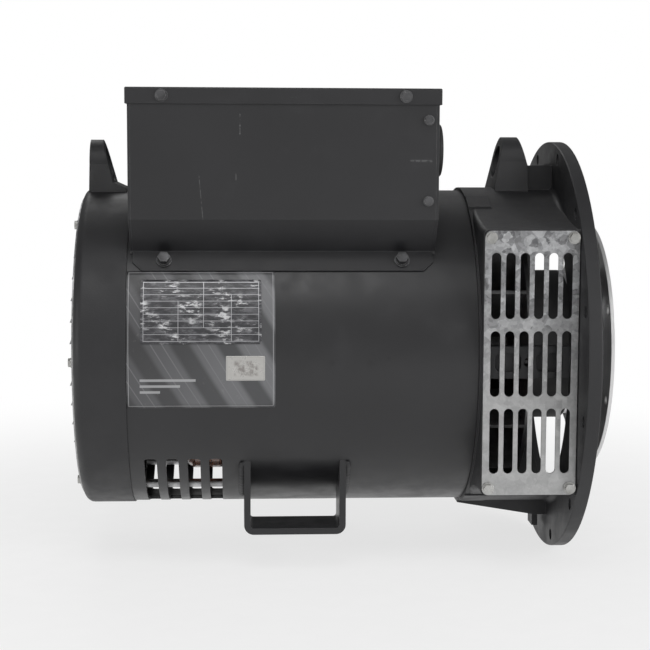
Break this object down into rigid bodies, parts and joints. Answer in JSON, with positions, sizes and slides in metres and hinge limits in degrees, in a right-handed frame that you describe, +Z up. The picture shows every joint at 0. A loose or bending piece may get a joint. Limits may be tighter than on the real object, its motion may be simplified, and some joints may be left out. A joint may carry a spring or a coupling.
{
  "type": "generator alternator head",
  "caption": "Single-bearing brushless generator alternator head with an engine flange, disc coupling, slotted side grilles, louvred rear grille, terminal box and strap feet.",
  "frame": {"origin": "centre of the engine flange's mating face, on the shaft axis", "axes": "+X along the shaft out of the flange towards the engine, +Z up through the terminal box, the label side is -Y"},
  "size_m": [0.5151, 0.4031, 0.4481],
  "materials": {
    "black_casting": "satin black paint over a sand casting",
    "black_sheet": "satin black paint over steel sheet",
    "galvanised": "zinc-coated steel",
    "zinc_screw": "bright zinc plate",
    "black_screw": "black over zinc, worn on the edges",
    "lamination": "stacked electrical steel",
    "winding": "enamelled copper under varnish",
    "steel": "machined steel",
    "spring_steel": "rolled spring steel",
    "bearing_steel": "ground bearing steel",
    "cage": "machined brass",
    "fan_alloy": "cast alloy",
    "insulation": "moulded insulating resin",
    "potting": "potted resin in a plastic tray",
    "trimmer": "moulded plastic",
    "plug": "black moulded plastic"
  },
  "bodies": {
    "stator": {"stator_frame": "black_sheet", "core_bars": "steel", "drive_bracket": "black_casting", "grille_screws": "zinc_screw", "rear_bracket": "black_casting", "rear_grille": "galvanised", "rear_grille_screws": "zinc_screw", "stator_core": "lamination", "stator_winding": "winding", "tie_rods": "steel", "bearing_outer_race": "bearing_steel", "exciter_stator": "lamination", "exciter_coils": "winding", "box_sides": "black_sheet", "box_end_rear": "black_sheet", "box_end_drive": "black_sheet", "box_lid": "black_sheet", "lid_screws": "black_screw", "panel_screws": "black_screw", "foot_bolts": "black_screw", "cable_plug": "plug", "equipment_tray": "galvanised", "terminal_board": "insulation", "terminal_studs": "zinc_screw", "regulator_case": "potting", "side_grille_far": "galvanised", "side_grille_near": "galvanised", "strap_foot_far": "black_sheet", "strap_foot_near": "black_sheet"},
    "rotor": {"shaft": "steel", "rotor_core": "lamination", "rotor_winding": "winding", "coil_supports": "insulation", "exciter_rotor": "lamination", "rectifier_plate": "fan_alloy", "rectifier_diodes": "steel", "cooling_fan": "fan_alloy", "coupling_hub": "steel", "coupling_discs": "spring_steel", "clamp_ring": "steel", "clamp_bolts": "black_screw", "bearing_inner_race": "bearing_steel"},
    "bearing_cage_and_balls": {"bearing_cage": "cage", "bearing_balls": "bearing_steel"},
    "regulator_trimmer_1": {"regulator_trimmer_1": "trimmer"},
    "regulator_trimmer_2": {"regulator_trimmer_2": "trimmer"},
    "regulator_trimmer_3": {"regulator_trimmer_3": "trimmer"},
    "regulator_trimmer_4": {"regulator_trimmer_4": "trimmer"}
  },
  "joints": [
    {"name": "rotor_spin", "type": "hinge", "parent": "stator", "child": "rotor", "pos_m": [-0.2, 0, 0], "axis": [1, 0, 0], "continuous": true},
    {"name": "bearing_cage_spin", "type": "hinge", "parent": "stator", "child": "bearing_cage_and_balls", "pos_m": [-0.4505, 0, 0], "axis": [1, 0, 0], "continuous": true},
    {"name": "trimmer_1_turn", "type": "hinge", "parent": "stator", "child": "regulator_trimmer_1", "pos_m": [-0.306, -0.076, 0.1895], "axis": [0, 0, 1], "range_deg": [-135, 135]},
    {"name": "trimmer_2_turn", "type": "hinge", "parent": "stator", "child": "regulator_trimmer_2", "pos_m": [-0.288, -0.076, 0.1895], "axis": [0, 0, 1], "range_deg": [-135, 135]},
    {"name": "trimmer_3_turn", "type": "hinge", "parent": "stator", "child": "regulator_trimmer_3", "pos_m": [-0.27, -0.076, 0.1895], "axis": [0, 0, 1], "range_deg": [-135, 135]},
    {"name": "trimmer_4_turn", "type": "hinge", "parent": "stator", "child": "regulator_trimmer_4", "pos_m": [-0.252, -0.076, 0.1895], "axis": [0, 0, 1], "range_deg": [-135, 135]}
  ],
  "couplings": [
    {"joint": "bearing_cage_spin", "follows": "rotor_spin", "ratio": 0.3846}
  ]
}
